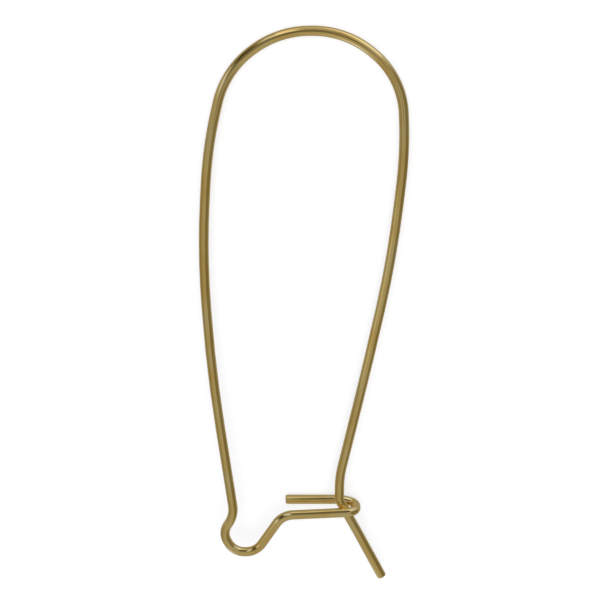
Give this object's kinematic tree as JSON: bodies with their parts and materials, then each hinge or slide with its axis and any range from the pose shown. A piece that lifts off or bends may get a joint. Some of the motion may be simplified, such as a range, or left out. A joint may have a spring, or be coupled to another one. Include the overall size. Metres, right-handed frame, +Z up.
{
  "type": "ear wire",
  "caption": "Latched kidney-shaped ear wire in round gold-coloured wire, with a drop loop that holds a charm and a hooked catch that closes over the tail.",
  "frame": {"origin": "middle of the box round the part, at its base: the ear wire lies on its side on a level surface, resting on the top of its arch and on the back leg of its catch", "axes": "+Z up from the surface it lies on, towards the front of the loop; +Y along the loop's length, from the catch towards the arch; +X across the loop, from the left leg with the drop loop towards the ear leg"},
  "size_m": [0.0153, 0.0429, 0.0024],
  "materials": {
    "gold_plated_brass": "bright drawn wire with a thin gold plating, slightly worn and toned at the bends"
  },
  "bodies": {
    "root": {"ear_wire": "gold_plated_brass"}
  },
  "joints": []
}
